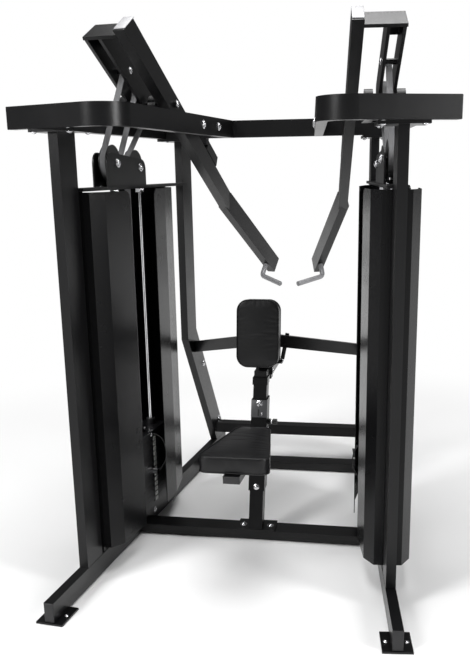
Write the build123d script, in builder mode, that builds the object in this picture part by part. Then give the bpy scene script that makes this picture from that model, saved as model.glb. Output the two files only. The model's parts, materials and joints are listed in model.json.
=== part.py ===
from build123d import *
import math
import os

# Selectorised seated row with two weight towers, swing arms overhead and a chest pad.
# Millimetres, +Z up, user faces +Y. Distances "back" run from the line of the rail fronts.
front_line_y = -1168.6
rail_front_x = 645.4
toe_in_deg = 5.89
# Floor rails and posts
tube_wall = 3.0
rail_half = 20.0
rail_length = 2120.0
rail_z0 = 8.0
rail_top = 88.0
foot_half = 55.0
foot_length = 130.0
foot_overhang = 8.0
post_half = 19.0
front_post_s = 286.0
rear_post_s = 1529.0
post_depth = 130.0
post_top = 1790.0
flange_top = 1802.0
# Overhead beams
beam_top = 1882.0
beam_in = 48.0
beam_out = 88.0
beam_back = 1480.0
beam_depth = 40.0
beam_half_x = 535.0
# Swing-arm pivot, and the frame of reference that runs down the arm
pivot_s = 1085.0
pivot_z = 1932.0
shaft_r = 15.0
arm_drop_deg = 29.8
arm_s0 = 624.0
arm_z0 = 2192.0
arm_inner = -163.0
arm_outer = -117.0
arm_low = -36.0
arm_high = 57.0
arm_wall = 4.0
# Belt and pulleys
belt_r = 68.0
belt_thick = 5.0
belt_half = 12.5
groove_r = 65.2
flange_r = 74.0
front_pulley_at = (741.0, 1683.0)
rear_pulley_at = (970.0, 1666.0)
axle_r = 8.0
# Weight stack
stack_s = 902.0
stack_half_s = 180.0
stack_half_n = 55.0
plate_pitch = 25.0
plate_thick = 24.0
stack_z0 = 124.0
resting_plates = 6
lifted_plates = 7
rod_offset = 130.5
rod_r = 11.0
rod_bore = 12.0
stem_r = 16.0
stem_bore = 17.0
pin_r = 5.0
pin_bore = 5.5
head_z = 449.0
head_top = 475.0
guide_z = 1578.0
guide_top = 1590.0
# Seat and chest pad
lean = 0.30
lean_back = 817.0
lean_z = 100.0
seat_slope = 0.0694
seat_front = 322.0
seat_length = 505.0
seat_front_half = 148.0
seat_back_half = 76.0
seat_thick = 68.0
brace_back = 1188.0
post_inner = 31.0
sleeve_gap = 0.5
sleeve_out = 36.5

toe = math.radians(toe_in_deg)
along = Vector(-math.sin(toe), math.cos(toe), 0)
outward = Vector(math.cos(toe), math.sin(toe), 0)
rail_front = Vector(rail_front_x, front_line_y, 0)
TOWER = Plane(origin=rail_front, x_dir=along, z_dir=(0, 0, 1))
SIDE = Plane(origin=rail_front, x_dir=along, z_dir=outward)
CENTRE = Plane(origin=(0, front_line_y, 0), x_dir=(0, 1, 0), z_dir=(1, 0, 0))
PLAN = Plane(origin=(0, front_line_y, 0), x_dir=(1, 0, 0), z_dir=(0, 0, 1))
arm_dir = (math.cos(math.radians(arm_drop_deg)), -math.sin(math.radians(arm_drop_deg)))
os.makedirs("parts", exist_ok=True)


def save(shape, name):
    shape.label = name
    export_step(shape, "parts/" + name + ".step")


def save_pair(shape, name):
    save(mirror(shape, about=Plane.YZ), name + "_left")
    save(shape, name + "_right")


def spot(s, n, z):
    return rail_front + along * s + outward * n + Vector(0, 0, z)


def arm_spot(a, p):
    # Distance a down the arm and p square above it, as a point of the tower's side view.
    return (arm_s0 + a * arm_dir[0] - p * arm_dir[1], arm_z0 + a * arm_dir[1] + p * arm_dir[0])


def tower_box(s0, s1, n0, n1, z0, z1):
    # Algebra-mode box in the tower's own directions, added or cut inside the builders.
    centre = Plane(origin=spot((s0 + s1) / 2, (n0 + n1) / 2, (z0 + z1) / 2), x_dir=along, z_dir=(0, 0, 1))
    return centre * Box(s1 - s0, n1 - n0, z1 - z0, mode=Mode.PRIVATE)


def tower_rod(s, z, n0, n1, radius):
    # Round bar lying across the tower.
    centre = Plane(origin=spot(s, (n0 + n1) / 2, z), x_dir=along, z_dir=outward)
    return centre * Cylinder(radius, n1 - n0, mode=Mode.PRIVATE)


def upright(s, z0, z1, radius):
    return Pos(spot(s, 0, (z0 + z1) / 2)) * Cylinder(radius, z1 - z0, mode=Mode.PRIVATE)


def hall_box(x0, x1, d0, d1, z0, z1):
    middle = Pos((x0 + x1) / 2, front_line_y + (d0 + d1) / 2, (z0 + z1) / 2)
    return middle * Box(x1 - x0, d1 - d0, z1 - z0, mode=Mode.PRIVATE)


def side_plate(points, n0, n1, rounding=0.0, corners=()):
    # Flat plate in the tower's side view between two distances out.
    with BuildPart(mode=Mode.PRIVATE) as plate:
        with BuildSketch(SIDE.offset(n0)):
            with BuildLine():
                Polyline(*points, close=True)
            make_face()
            if corners:
                picked = [v for v in vertices() if any(near(v, points[i]) for i in corners)]
                fillet(picked, rounding)
        extrude(amount=n1 - n0)
    return plate.part


def near(vertex, point):
    return math.hypot(vertex.X - point[0], vertex.Y - point[1]) < 0.01


def leaning(half_x, d0, d1, z0, z1):
    # Upright bar that follows the backward lean of the seat post.
    low = lean_back + lean * (z0 - lean_z)
    high = lean_back + lean * (z1 - lean_z)
    with BuildPart(mode=Mode.PRIVATE) as bar:
        with BuildSketch(CENTRE):
            with BuildLine():
                Polyline((low + d0, z0), (low + d1, z0), (high + d1, z1), (high + d0, z1), close=True)
            make_face()
        extrude(amount=half_x, both=True)
    return bar.part


def outside(limit):
    # Everything outboard of one face of the towers, on both sides.
    block = tower_box(-500, 3000, limit, limit + 1500, -10, 2500)
    return [block, mirror(block, about=Plane.YZ)]


# Floor rail with its two welded foot plates
with BuildPart() as base_rail:
    add(tower_box(0, rail_length, -rail_half, rail_half, rail_z0, rail_top))
    inner = rail_half - tube_wall
    add(tower_box(-1, rail_length + 1, -inner, inner, rail_z0 + tube_wall, rail_top - tube_wall), mode=Mode.SUBTRACT)
    rear_foot = rail_length + foot_overhang - foot_length
    for foot_s in (-foot_overhang, rear_foot):
        add(tower_box(foot_s, foot_s + foot_length, -foot_half, foot_half, 0, rail_z0))
save_pair(base_rail.part, "base_rail")

# Front post with the plate that carries the overhead beams
with BuildPart() as front_post:
    front_back = front_post_s + post_depth
    add(tower_box(front_post_s, front_back, -post_half, post_half, rail_top, post_top))
    hollow = post_half - tube_wall
    add(
        tower_box(front_post_s + tube_wall, front_back - tube_wall, -hollow, hollow, rail_top - 1, post_top),
        mode=Mode.SUBTRACT,
    )
    plate_lip = 16.0
    add(tower_box(front_post_s - plate_lip, front_back + plate_lip, -beam_out, beam_out, post_top, flange_top))
save_pair(front_post.part, "front_post")

# Rear post: upright above, raked back to the end of the rail below
with BuildPart() as rear_post:
    rake_rear_z = 820.0
    rake_front_z = 783.0
    rake_rear_s = 2109.0
    rake_front_s = 1956.0
    rear_back = rear_post_s + post_depth
    profile = [
        (rear_post_s, post_top),
        (rear_back, post_top),
        (rear_back, rake_rear_z),
        (rake_rear_s, rail_top),
        (rake_front_s, rail_top),
        (rear_post_s, rake_front_z),
    ]
    add(side_plate(profile, -post_half, post_half))
    cavity = [
        (rear_post_s + tube_wall, post_top + 1),
        (rear_back - tube_wall, post_top + 1),
        (rear_back - tube_wall, rake_rear_z),
        (rake_rear_s - tube_wall, rail_top - 1),
        (rake_front_s + tube_wall, rail_top - 1),
        (rear_post_s + tube_wall, rake_front_z),
    ]
    add(side_plate(cavity, tube_wall - post_half, post_half - tube_wall), mode=Mode.SUBTRACT)
    flange_front = 1478.0
    flange_back = 1675.0
    flange_in = 62.0
    add(tower_box(flange_front, flange_back, -flange_in, beam_out, post_top, flange_top))
save_pair(rear_post.part, "rear_post")

# Outer top beam and the carrier that holds the inner arm bearing
with BuildPart() as tower_top_frame:
    top_beam_s0 = 335.0
    top_beam_s1 = 1670.0
    add(tower_box(top_beam_s0, top_beam_s1, beam_in, beam_out, flange_top, beam_top))
    beam_bore = tower_box(
        top_beam_s0 - 1, top_beam_s1 + 1, beam_in + tube_wall, beam_out - tube_wall, flange_top + tube_wall, beam_top - tube_wall
    )
    add(beam_bore, mode=Mode.SUBTRACT)
    stub_s0 = 965.0
    stub_s1 = 1220.0
    stub_z = 1842.0
    cross_z = 1872.0
    cross_depth = 40.0
    add(tower_box(stub_s0, stub_s1, -beam_out, -beam_in, stub_z, beam_top))
    for cross_s in (1000.0, stub_s1 - cross_depth):
        add(tower_box(cross_s, cross_s + cross_depth, -beam_in, beam_in, stub_z, cross_z))
save_pair(tower_top_frame.part, "tower_top_frame")

# Curved top rail from the outer front corner, round a bend, to the rear crossbeam
with BuildPart() as top_rail:
    with BuildSketch(PLAN.offset(flange_top)):
        with BuildLine():
            front_side = FilletPolyline((803, 322), (337, 138), (199, beam_back), radius=110)
            back_side = FilletPolyline((788.3, 359.2), (371.4, 194.6), (239.2, beam_back), radius=70)
            Line(front_side @ 0, back_side @ 0)
            Line(front_side @ 1, back_side @ 1)
        make_face()
    extrude(amount=beam_top - flange_top)
    with BuildSketch(PLAN.offset(flange_top + tube_wall)):
        with BuildLine():
            front_inside = FilletPolyline((811.1, 328.5), (339.6, 142.2), (201.4, beam_back + 6), radius=107)
            back_inside = FilletPolyline((798.6, 360.1), (368.8, 190.3), (235.6, beam_back + 6), radius=73)
            Line(front_inside @ 0, back_inside @ 0)
            Line(front_inside @ 1, back_inside @ 1)
        make_face()
    extrude(amount=beam_top - flange_top - 2 * tube_wall, mode=Mode.SUBTRACT)
save_pair(top_rail.part, "top_rail")

with BuildPart() as top_crossbeam:
    add(hall_box(-beam_half_x, beam_half_x, beam_back, beam_back + beam_depth, flange_top, beam_top))
    back_inner = beam_back + beam_depth - tube_wall
    bore_box = hall_box(-600, 600, beam_back + tube_wall, back_inner, flange_top + tube_wall, beam_top - tube_wall)
    add(bore_box, mode=Mode.SUBTRACT)
save(top_crossbeam.part, "top_crossbeam")

# Guide plate on top of the tower and the pulley bracket standing on it
with BuildPart() as guide_head:
    guide_half = 40.0
    slot_s = 12.0
    slot_n = 17.0
    add(tower_box(front_back, rear_post_s, -guide_half, guide_half, guide_z, guide_top))
    add(
        tower_box(stack_s - slot_s, stack_s + slot_s, -slot_n, slot_n, guide_z - 1, guide_top + 1),
        mode=Mode.SUBTRACT,
    )
    bracket = [(645, guide_top), (1032, guide_top), (1032, 1697), (645, 1729)]
    bracket_in = 27.0
    bracket_out = 33.0
    for bracket_n in (-bracket_out, bracket_in):
        add(side_plate(bracket, bracket_n, bracket_n + bracket_out - bracket_in, 42.0, (2, 3)))
    axle_head = 38.0
    for centre in (front_pulley_at, rear_pulley_at):
        add(tower_rod(*centre, -axle_head, axle_head, axle_r))
save_pair(guide_head.part, "guide_head")

with BuildPart() as guide_rods:
    for rod_side in (-rod_offset, rod_offset):
        add(upright(stack_s + rod_side, rail_top, guide_z, rod_r))
save_pair(guide_rods.part, "guide_rods")

with BuildPart() as stack_cushions:
    cushion_r = 20.0
    for rod_side in (-rod_offset, rod_offset):
        add(upright(stack_s + rod_side, rail_top, stack_z0 - 0.3, cushion_r))
        add(upright(stack_s + rod_side, rail_top, stack_z0, rod_bore), mode=Mode.SUBTRACT)
save_pair(stack_cushions.part, "stack_cushions")

# Bent sheet covers in front of and behind the weights
cover_z0 = 115.0
cover_top = 1575.0
sheet = 4.0


def cover(outer, inner, open_s, tab_s, corner_s):
    with BuildPart(mode=Mode.PRIVATE) as shell:
        with BuildSketch(TOWER.offset(cover_z0)):
            with BuildLine():
                ring = outer + inner[::-1]
                Polyline(*ring, close=True)
            make_face()
        extrude(amount=cover_top - cover_z0)
        tab_n = 18.0
        tab_long = 16.0
        add(tower_box(tab_s, tab_s + tab_long, -tab_n, tab_n, rail_top, cover_z0 + tab_long))
        add(tower_box(tab_s, tab_s + tab_long, -tab_n, tab_n, cover_top - tab_long, guide_z))
        corner = 40.0
        square = tower_box(min(open_s, corner_s), max(open_s, corner_s), -150, 150, cover_top - corner, guide_z + 1)
        edge = Plane(origin=spot(corner_s, 0, cover_top - corner), x_dir=along, z_dir=outward)
        round_off = square - edge * Cylinder(corner, 400, mode=Mode.PRIVATE)
        add(round_off, mode=Mode.SUBTRACT)
    return shell.part


front_outer = [(690, -106), (490, -92), (430, -55), (430, 55), (490, 92), (690, 106)]
front_inner = [(690, -102), (492, -88), (434, -52.5), (434, 52.5), (492, 88), (690, 102)]
save_pair(cover(front_outer, front_inner, 690, 434, 650), "front_cover")
rear_outer = [(937, -108), (1080, -100), (1260, -62), (1300, -40), (1300, 40), (1260, 62), (1080, 100), (937, 108)]
rear_inner = [(937, -104), (1080, -96), (1258, -58), (1296, -37.5), (1296, 37.5), (1258, 58), (1080, 96), (937, 104)]
save_pair(cover(rear_outer, rear_inner, 937, 1280, 977), "rear_cover")


def weight_plate(index):
    z0 = stack_z0 + index * plate_pitch
    middle = z0 + plate_thick / 2
    with BuildPart(mode=Mode.PRIVATE) as plate:
        add(tower_box(stack_s - stack_half_s, stack_s + stack_half_s, -stack_half_n, stack_half_n, z0, z0 + plate_thick))
        for rod_side in (-rod_offset, rod_offset):
            add(upright(stack_s + rod_side, z0 - 1, z0 + plate_pitch, rod_bore), mode=Mode.SUBTRACT)
        add(upright(stack_s, z0 - 1, z0 + plate_pitch, stem_bore), mode=Mode.SUBTRACT)
        add(tower_rod(stack_s, middle, -stack_half_n - 1, 0, pin_bore), mode=Mode.SUBTRACT)
    return plate.part


with BuildPart() as lower_weights:
    for index in range(resting_plates):
        add(weight_plate(index))
save_pair(lower_weights.part, "lower_weights")

# Head plate, its selector stem and the plates hanging from it
pin_z = stack_z0 + resting_plates * plate_pitch + plate_thick / 2
with BuildPart() as lifted_weights:
    for index in range(resting_plates, resting_plates + lifted_plates):
        add(weight_plate(index))
    add(tower_box(stack_s - stack_half_s, stack_s + stack_half_s, -stack_half_n, stack_half_n, head_z, head_top))
    bush_r = 22.0
    bush_top = 500.0
    clamp_half = 20.0
    belt_foot = 505.0
    stem_foot = 130.0
    for rod_side in (-rod_offset, rod_offset):
        add(upright(stack_s + rod_side, head_top, bush_top, bush_r))
        add(upright(stack_s + rod_side, head_z - 1, bush_top + 1, rod_bore), mode=Mode.SUBTRACT)
    add(tower_box(stack_s - clamp_half, stack_s + clamp_half, -clamp_half, clamp_half, head_top, belt_foot))
    add(upright(stack_s, stem_foot, head_z, stem_r))
    add(tower_rod(stack_s, pin_z, -stem_bore, stem_bore, pin_bore), mode=Mode.SUBTRACT)
save_pair(lifted_weights.part, "lifted_weights")

with BuildPart() as selector_pin:
    knob_r = 14.0
    knob_face = -58.0
    knob_end = -82.0
    add(tower_rod(stack_s, pin_z, knob_face, 14, pin_r))
    add(tower_rod(stack_s, pin_z, knob_end, knob_face, knob_r))
save_pair(selector_pin.part, "selector_pin")

# Lanyard from the head plate to the pin knob
lanyard_r = 2.5
lanyard_run = [(-55.3, 462), (-88, 458), (-112, 424), (-120, 376), (-114, 330), (-85.5, 289)]
lanyard_points = [spot(stack_s + 17, n, z) for n, z in lanyard_run]
lanyard_bends = []
for before, at, after in zip(lanyard_points, lanyard_points[1:], lanyard_points[2:]):
    turn = (at - before).get_angle(after - at)
    shorter = min((at - before).length, (after - at).length)
    lanyard_bends.append(0.45 * shorter / math.tan(math.radians(turn / 2)))
print("lanyard bend radii", [round(bend, 1) for bend in lanyard_bends])
with BuildPart() as lanyard:
    with BuildLine() as lanyard_path:
        FilletPolyline(*lanyard_points, radius=lanyard_bends)
    with BuildSketch(Plane(origin=lanyard_path.line @ 0, z_dir=lanyard_path.line % 0)):
        Circle(lanyard_r)
    sweep(path=lanyard_path.line)
save_pair(lanyard.part, "lanyard")


def pulley(centre, bore):
    with BuildPart(mode=Mode.PRIVATE) as wheel:
        groove = 13.0
        rim = 14.5
        add(tower_rod(*centre, -groove, groove, groove_r))
        for rim_n in (-rim, groove):
            add(tower_rod(*centre, rim_n, rim_n + rim - groove, flange_r))
        add(tower_rod(*centre, -rim - 1, rim + 1, bore), mode=Mode.SUBTRACT)
    return wheel.part


running_fit = 0.08
pivot_at = (pivot_s, pivot_z)
save_pair(pulley(front_pulley_at, axle_r + running_fit), "front_pulley")
save_pair(pulley(rear_pulley_at, axle_r + running_fit), "rear_pulley")
save_pair(pulley(pivot_at, shaft_r + running_fit), "upper_pulley")


def inner_tangent(first, second, sense):
    # Touching points of the straight belt run that crosses between two equal pulleys.
    gap = math.hypot(second[0] - first[0], second[1] - first[1])
    heading = math.atan2(second[1] - first[1], second[0] - first[0])
    heading += sense * math.asin(2 * belt_r / gap)
    left = (-math.sin(heading), math.cos(heading))
    start = (first[0] - sense * belt_r * left[0], first[1] - sense * belt_r * left[1])
    end = (second[0] + sense * belt_r * left[0], second[1] + sense * belt_r * left[1])
    return start, end


def on_pulley(centre, degrees):
    turn = math.radians(degrees)
    return (centre[0] + belt_r * math.cos(turn), centre[1] + belt_r * math.sin(turn))


def bearing(centre, point):
    return math.degrees(math.atan2(point[1] - centre[1], point[0] - centre[0]))


# Belt: from the arm clamp, under the front pulley, over the upper one, to the rear pulley
clamp_at = (925.0, 2060.0)
clamp_r = 12.0
clamp_gap = math.hypot(clamp_at[0] - front_pulley_at[0], clamp_at[1] - front_pulley_at[1])
entry_angle = bearing(front_pulley_at, clamp_at) + math.degrees(math.acos(belt_r / clamp_gap))
entry = on_pulley(front_pulley_at, entry_angle)
rise_start, rise_end = inner_tangent(front_pulley_at, pivot_at, 1)
fall_start, fall_end = inner_tangent(pivot_at, rear_pulley_at, -1)
lever_run = math.hypot(clamp_at[0] - entry[0], clamp_at[1] - entry[1])
short = 1 - (clamp_r + 0.5) / lever_run
lever_end = (entry[0] + (clamp_at[0] - entry[0]) * short, entry[1] + (clamp_at[1] - entry[1]) * short)
under = on_pulley(front_pulley_at, -110)
over = on_pulley(pivot_at, 55)
rear_side = on_pulley(rear_pulley_at, 180)
rear_mid = on_pulley(rear_pulley_at, (bearing(rear_pulley_at, fall_end) + 180) / 2)
print("belt", [tuple(round(c, 1) for c in p) for p in (lever_end, entry, rise_start, rise_end, fall_start, fall_end, rear_side)])
with BuildPart() as belt_loop:
    with BuildSketch(SIDE.offset(-belt_half)):
        with BuildLine() as belt_line:
            Line(lever_end, entry)
            ThreePointArc(entry, under, rise_start)
            Line(rise_start, rise_end)
            ThreePointArc(rise_end, over, fall_start)
            Line(fall_start, fall_end)
            ThreePointArc(fall_end, rear_mid, rear_side)
        for edge in belt_line.edges():
            trace(edge, line_width=belt_thick)
    extrude(amount=2 * belt_half)
save_pair(belt_loop.part, "belt_loop")

with BuildPart() as belt_stack_run:
    half_thick = belt_thick / 2
    run_top = rear_pulley_at[1] - 0.3
    add(tower_box(stack_s - half_thick, stack_s + half_thick, -belt_half, belt_half, belt_foot + 0.3, run_top))
save_pair(belt_stack_run.part, "belt_stack_run")

# Pillow blocks on the outer beam and the inner stub
with BuildPart() as pillow_blocks:
    foot_s = 70.0
    foot_top = 1902.0
    house_r = 40.0
    for block_n in (-86.0, 50.0):
        add(tower_box(pivot_s - foot_s, pivot_s + foot_s, block_n, block_n + 36, beam_top, foot_top))
        add(tower_rod(*pivot_at, block_n, block_n + 36, house_r))
        neck = house_r - 2
        add(tower_box(pivot_s - neck, pivot_s + neck, block_n, block_n + 36, beam_top, pivot_z))
    add(tower_rod(*pivot_at, -beam_out, beam_out, shaft_r + running_fit), mode=Mode.SUBTRACT)
save_pair(pillow_blocks.part, "pillow_blocks")

# Forked overhead lever with the shaft and the belt clamp bar
fork_low = -21.0
fork_high = 93.0
fork_end = 580.0
leg_in = -31.0
leg_out = 41.0
leg = 13.0
with BuildPart() as arm_fork:
    outline = [arm_spot(51, fork_low), arm_spot(124, fork_high), arm_spot(fork_end, fork_high), arm_spot(fork_end, fork_low)]
    for leg_n in (leg_in, leg_out - leg):
        add(side_plate(outline, leg_n, leg_n + leg, 30.0, (2, 3)))
    web = [arm_spot(121, 82), arm_spot(121, 91), arm_spot(228, 91), arm_spot(228, 82)]
    add(side_plate(web, leg_in + 2, leg_out - 2))
    low_corner = arm_spot(51, fork_low)
    high_corner = arm_spot(124, fork_high)
    slope = math.atan2(high_corner[1] - low_corner[1], high_corner[0] - low_corner[0])
    lap = 3.0
    above = 10.0
    lift = (-math.sin(slope), math.cos(slope))
    cross_plate = [
        (low_corner[0] - lap * lift[0], low_corner[1] - lap * lift[1]),
        (high_corner[0] - lap * lift[0], high_corner[1] - lap * lift[1]),
        (high_corner[0] + above * lift[0], high_corner[1] + above * lift[1]),
        (low_corner[0] + above * lift[0], low_corner[1] + above * lift[1]),
    ]
    add(side_plate(cross_plate, arm_outer, leg_out + 4))
    add(tower_rod(*clamp_at, leg_in + 1, leg_out - 1, clamp_r))
    add(tower_rod(*pivot_at, -175, 95, shaft_r))
save_pair(arm_fork.part, "arm_fork")

# Long arm: upper tube beside the tower, then a lower tube turned in towards the user
knee = spot(1854, -140, 1487)
lower_toe = math.radians(20.8)
lower_drop = math.radians(37.4)
lower_dir = Vector(
    -math.sin(lower_toe) * math.cos(lower_drop),
    math.cos(lower_toe) * math.cos(lower_drop),
    -math.sin(lower_drop),
)
upper_dir = along * arm_dir[0] + Vector(0, 0, arm_dir[1])
lower_side = Vector(math.cos(lower_toe), math.sin(lower_toe), 0)
upper_length = 1440.0
lower_length = 655.0
knee_overlap = 12.0
arm_width = arm_outer - arm_inner
arm_height = arm_high - arm_low


def arm_bar(inset):
    top = knee - upper_dir * upper_length
    with BuildPart(mode=Mode.PRIVATE) as bar:
        with BuildSketch(Plane(origin=top, x_dir=outward, z_dir=upper_dir)):
            Rectangle(arm_width - 2 * inset, arm_height - 2 * inset)
        extrude(amount=upper_length + knee_overlap)
        with BuildSketch(Plane(origin=knee - lower_dir * knee_overlap, x_dir=lower_side, z_dir=lower_dir)):
            Rectangle(arm_width - 2 * inset, arm_height - 2 * inset)
        extrude(amount=lower_length + knee_overlap)
    return bar.part


with BuildPart() as arm_tube:
    add(arm_bar(0))
    add(arm_bar(arm_wall), mode=Mode.SUBTRACT)
    top_cut = [(500, 2115.4), (591, 2168), (685, 2223), (685, 2500), (400, 2500), (400, 2057)]
    add(side_plate(top_cut, arm_inner - 20, arm_outer + 20), mode=Mode.SUBTRACT)
    add(tower_rod(*pivot_at, arm_inner - 20, arm_outer + 20, shaft_r), mode=Mode.SUBTRACT)
save_pair(arm_tube.part, "arm_tube")

# Bent grip hanging from the underside of the arm's lower end
grip_r = 14.0
down = lower_side.cross(lower_dir)
if down.Z > 0:
    down = down * -1
grip_start = knee + lower_dir * 575 + down * (arm_height / 2)
grip_bend = grip_start + down * 76
grip_end = Vector(52, front_line_y + 2038.7, 1014)
with BuildPart() as arm_handle:
    with BuildLine() as grip_path:
        FilletPolyline(grip_start, grip_bend, grip_end, radius=34)
    with BuildSketch(Plane(origin=grip_start, z_dir=down)):
        Circle(grip_r)
    sweep(path=grip_path.line)
save_pair(arm_handle.part, "arm_handle")

# Stop hanging from the crossbeam, lying along the top of the arm
with BuildPart() as stop_bracket:
    stop_n0 = -160.0
    stop_n1 = -122.0
    stop_gap = 0.5
    stop_low = arm_high + stop_gap
    stop_high = 107.0
    block = [arm_spot(992, stop_low), arm_spot(992, stop_high), arm_spot(1150, stop_high), arm_spot(1150, stop_low)]
    add(side_plate(block, stop_n0, stop_n1))
    add(tower_box(1505, 1541, stop_n0, stop_n1, 1772, flange_top))
save_pair(stop_bracket.part, "stop_bracket")

# Floor crossbars and the raised rear one
with BuildPart() as front_crossbar:
    crossbar_top = 48.0
    add(hall_box(-700, 700, 812, 912, rail_z0, crossbar_top))
    add(hall_box(-700, 700, 815, 909, rail_z0 + tube_wall, crossbar_top - tube_wall), mode=Mode.SUBTRACT)
    for block in outside(-rail_half):
        add(block, mode=Mode.SUBTRACT)
save(front_crossbar.part, "front_crossbar")

with BuildPart() as rear_crossbars:
    add(hall_box(-700, 700, 1718, 1818, rail_z0, crossbar_top))
    add(hall_box(-700, 700, 1721, 1815, rail_z0 + tube_wall, crossbar_top - tube_wall), mode=Mode.SUBTRACT)
    for block in outside(-rail_half):
        add(block, mode=Mode.SUBTRACT)
    with BuildPart(mode=Mode.PRIVATE) as raised_bar:
        add(hall_box(-700, 700, 1921, 1991, 144, 200))
        add(hall_box(-700, 700, 1924, 1988, 147, 197), mode=Mode.SUBTRACT)
        for block in outside(-post_half):
            add(block, mode=Mode.SUBTRACT)
    add(raised_bar.part)
save(rear_crossbars.part, "rear_crossbars")

# V brace from the rear posts to the chest-pad mast
with BuildPart() as pad_brace:
    apex = Vector(0, front_line_y + brace_back, 865)
    heel = spot(1636, -post_half, 725)
    reach = heel - apex
    level = Vector(0, 0, 1).cross(reach).normalized()
    overrun = 60.0
    brace_depth = 40.0
    brace_height = 58.0
    with BuildSketch(Plane(origin=apex, x_dir=level, z_dir=reach)):
        Rectangle(brace_depth, brace_height)
    extrude(amount=reach.length + overrun)
    add(hall_box(-40, 0, brace_back - 90, brace_back + 90, 700, 1000), mode=Mode.SUBTRACT)
    mirror(about=Plane.YZ)
    for block in outside(-post_half):
        add(block, mode=Mode.SUBTRACT)
save(pad_brace.part, "pad_brace")

# Seat post on the front crossbar, with the level mast for the chest pad
hole_pitch = 20.0
lean_len = math.hypot(1, lean)
pin_level = 520.0
pin_depth = 39.0
post_back = 66.0
mast_half = 29.0
mast_z0 = 700.0
mast_z1 = 750.0
lock_back = 1316.0
lock_z = 730.0
with BuildPart() as seat_post:
    add(hall_box(-88, 88, 806, 918, crossbar_top, 56))
    add(leaning(post_inner, 6, 6 + post_back, 56, 712))
    collar_half = 35.0
    add(leaning(collar_half, 0, 60, 690, 722))
    add(hall_box(-mast_half, mast_half, 1012, 1340, mast_z0, mast_z1))
    add(hall_box(-25, 25, 1190, 1250, mast_z1, 890))
    add(pad_brace.part, mode=Mode.SUBTRACT)
    for step in range(-6, 3):
        rise = step * hole_pitch / lean_len
        hole_z = pin_level + rise
        hole_back = lean_back + lean * (hole_z - lean_z) + pin_depth
        hole = Pos(post_inner, front_line_y + hole_back, hole_z) * Rot(0, 90, 0) * Cylinder(5.5, 20, mode=Mode.PRIVATE)
        add(hole, mode=Mode.SUBTRACT)
    stud = Pos(45, front_line_y + lock_back, lock_z) * Rot(0, 90, 0) * Cylinder(5, 34, mode=Mode.PRIVATE)
    add(stud)
save(seat_post.part, "seat_post")

pin_back = lean_back + lean * (pin_level - lean_z) + pin_depth
with BuildPart() as seat_carriage:
    sleeve_z0 = 226.0
    sleeve_z1 = 625.0
    tube_front = 302.0
    tube_top = 508.0
    tube_high = 30.0
    tube_half = 33.0
    plate_half = 70.0
    join_top = 935.0
    add(leaning(sleeve_out, 0, 78, sleeve_z0, sleeve_z1))
    top_at_join = tube_top - seat_slope * (join_top - tube_front)
    with BuildSketch(CENTRE):
        with BuildLine():
            Polyline(
                (tube_front, tube_top - tube_high),
                (tube_front, tube_top),
                (join_top, top_at_join),
                (join_top - 8, top_at_join - tube_high),
                close=True,
            )
        make_face()
    extrude(amount=tube_half, both=True)
    with BuildSketch(CENTRE):
        with BuildLine():
            Polyline(
                (380, tube_top - seat_slope * 78),
                (380, tube_top - seat_slope * 78 + 5),
                (780, tube_top - seat_slope * 478 + 5),
                (780, tube_top - seat_slope * 478),
                close=True,
            )
        make_face()
    extrude(amount=plate_half, both=True)
    boss = Pos(43, front_line_y + pin_back, pin_level) * Rot(0, 90, 0) * Cylinder(13, 18, mode=Mode.PRIVATE)
    add(boss)
    low_gap = 6 - sleeve_gap
    add(leaning(post_inner + sleeve_gap, low_gap, 6 + post_back + sleeve_gap, 200, 700), mode=Mode.SUBTRACT)
    bore = Pos(40, front_line_y + pin_back, pin_level) * Rot(0, 90, 0) * Cylinder(5.08, 40, mode=Mode.PRIVATE)
    add(bore, mode=Mode.SUBTRACT)
save(seat_carriage.part, "seat_carriage")

with BuildPart() as seat_pin:
    for pin_x0, pin_x1, radius in ((31.4, 60.0, 5.0), (60.0, 80.0, 13.0)):
        piece = Pos((pin_x0 + pin_x1) / 2, front_line_y + pin_back, pin_level) * Rot(0, 90, 0)
        add(piece * Cylinder(radius, pin_x1 - pin_x0, mode=Mode.PRIVATE))
save(seat_pin.part, "seat_pin")

with BuildPart() as seat_pad:
    seat_middle = seat_front + seat_length / 2
    seat_under = tube_top + 5.3 - seat_slope * (seat_middle - tube_front)
    tilt = Vector(0, seat_slope, 1).normalized()
    seat_half = seat_length / 2
    with BuildSketch(Plane(origin=(0, front_line_y + seat_middle, seat_under), x_dir=(1, 0, 0), z_dir=tilt)):
        with BuildLine():
            Polyline(
                (-seat_front_half, -seat_half),
                (seat_front_half, -seat_half),
                (seat_back_half, seat_half),
                (-seat_back_half, seat_half),
                close=True,
            )
        make_face()
        fillet(vertices(), 40)
    extrude(amount=seat_thick)
    fillet(seat_pad.faces().sort_by(Axis.Z)[-1].edges(), 14)
save(seat_pad.part, "seat_pad")

# Chest pad, its back plate and the carriage that slides on the mast
pad_z = 940.0
pad_back = 940.0
pad_thick = 75.0
pad_lean = Vector(0, -0.9914, 0.1305)
with BuildPart() as chest_pad:
    with BuildSketch(Plane(origin=(0, front_line_y + pad_back, pad_z), x_dir=(1, 0, 0), z_dir=pad_lean)):
        RectangleRounded(190, 305, 52)
    extrude(amount=-pad_thick)
    fillet(chest_pad.faces().sort_by(Axis.Y)[0].edges(), 14)
save(chest_pad.part, "chest_pad")

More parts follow.
